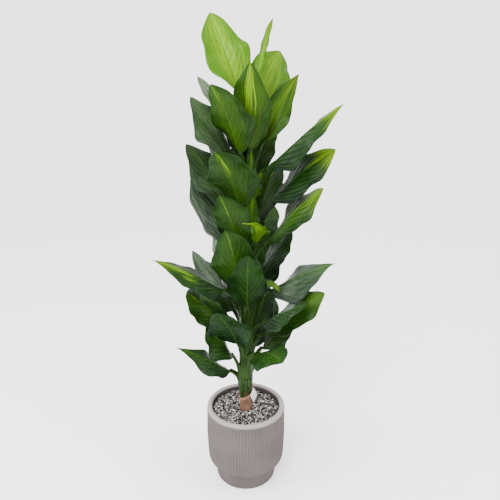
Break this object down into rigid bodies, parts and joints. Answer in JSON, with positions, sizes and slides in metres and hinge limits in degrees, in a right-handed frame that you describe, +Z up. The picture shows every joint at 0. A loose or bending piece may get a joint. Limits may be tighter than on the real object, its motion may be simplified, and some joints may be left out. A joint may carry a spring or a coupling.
{
  "type": "artificial potted plant",
  "caption": "Artificial dumb cane with broad striped leaves up a single cane, standing in a ribbed round planter filled with gravel.",
  "frame": {"origin": "middle of the planter's flat underside", "axes": "+Z up along the planter's axis; -Y is the front; +X is to the viewer's right"},
  "size_m": [0.6358, 0.4744, 1.7103],
  "materials": {
    "planter_clay": "matt warm grey fibre clay, ribbed body, smooth lip",
    "fill": "dark rigid foam and weight that fill the planter",
    "gravel": "grey, black and white chippings",
    "cane_green": "satin green cane",
    "leaf_green": "coated leaf cloth, dark green with a yellow-green flame up the middle",
    "leaf_lime": "coated leaf cloth, light yellow-green",
    "wrap_brown": "brown wrap round the foot of the cane",
    "band_salmon": "salmon band",
    "tag_card": "blank white card"
  },
  "bodies": {
    "root": {"planter": "planter_clay", "filling": "fill", "gravel": "gravel", "cane": "cane_green", "foot_sleeve": "wrap_brown", "sleeve_band": "band_salmon", "sleeve_flap": "band_salmon", "hang_tag": "tag_card", "leaf_01": "leaf_lime", "leaf_02": "leaf_lime", "leaf_03": "leaf_lime", "leaf_04": "leaf_green", "leaf_05": "leaf_green", "leaf_06": "leaf_green", "leaf_07": "leaf_green", "leaf_08": "leaf_green", "leaf_09": "leaf_green", "leaf_10": "leaf_green", "leaf_11": "leaf_green", "leaf_12": "leaf_green", "leaf_13": "leaf_green", "leaf_14": "leaf_green", "leaf_15": "leaf_green", "leaf_16": "leaf_green", "leaf_17": "leaf_green", "leaf_18": "leaf_green", "leaf_19": "leaf_green", "leaf_20": "leaf_green", "leaf_21": "leaf_green", "leaf_22": "leaf_green", "leaf_23": "leaf_green", "leaf_24": "leaf_green", "leaf_25": "leaf_green", "leaf_26": "leaf_green", "leaf_27": "leaf_green", "leaf_28": "leaf_green", "leaf_29": "leaf_green", "leaf_30": "leaf_green", "leaf_31": "leaf_green", "leaf_32": "leaf_green", "leaf_33": "leaf_green", "leaf_34": "leaf_green", "leaf_35": "leaf_green", "leaf_36": "leaf_green", "leaf_37": "leaf_green", "leaf_38": "leaf_green", "leaf_39": "leaf_green", "leaf_40": "leaf_green", "leaf_41": "leaf_green", "leaf_42": "leaf_green", "leaf_43": "leaf_green", "leaf_44": "leaf_green", "leaf_45": "leaf_green", "leaf_46": "leaf_green", "leaf_47": "leaf_green", "leaf_48": "leaf_green", "leaf_49": "leaf_green"}
  },
  "joints": []
}
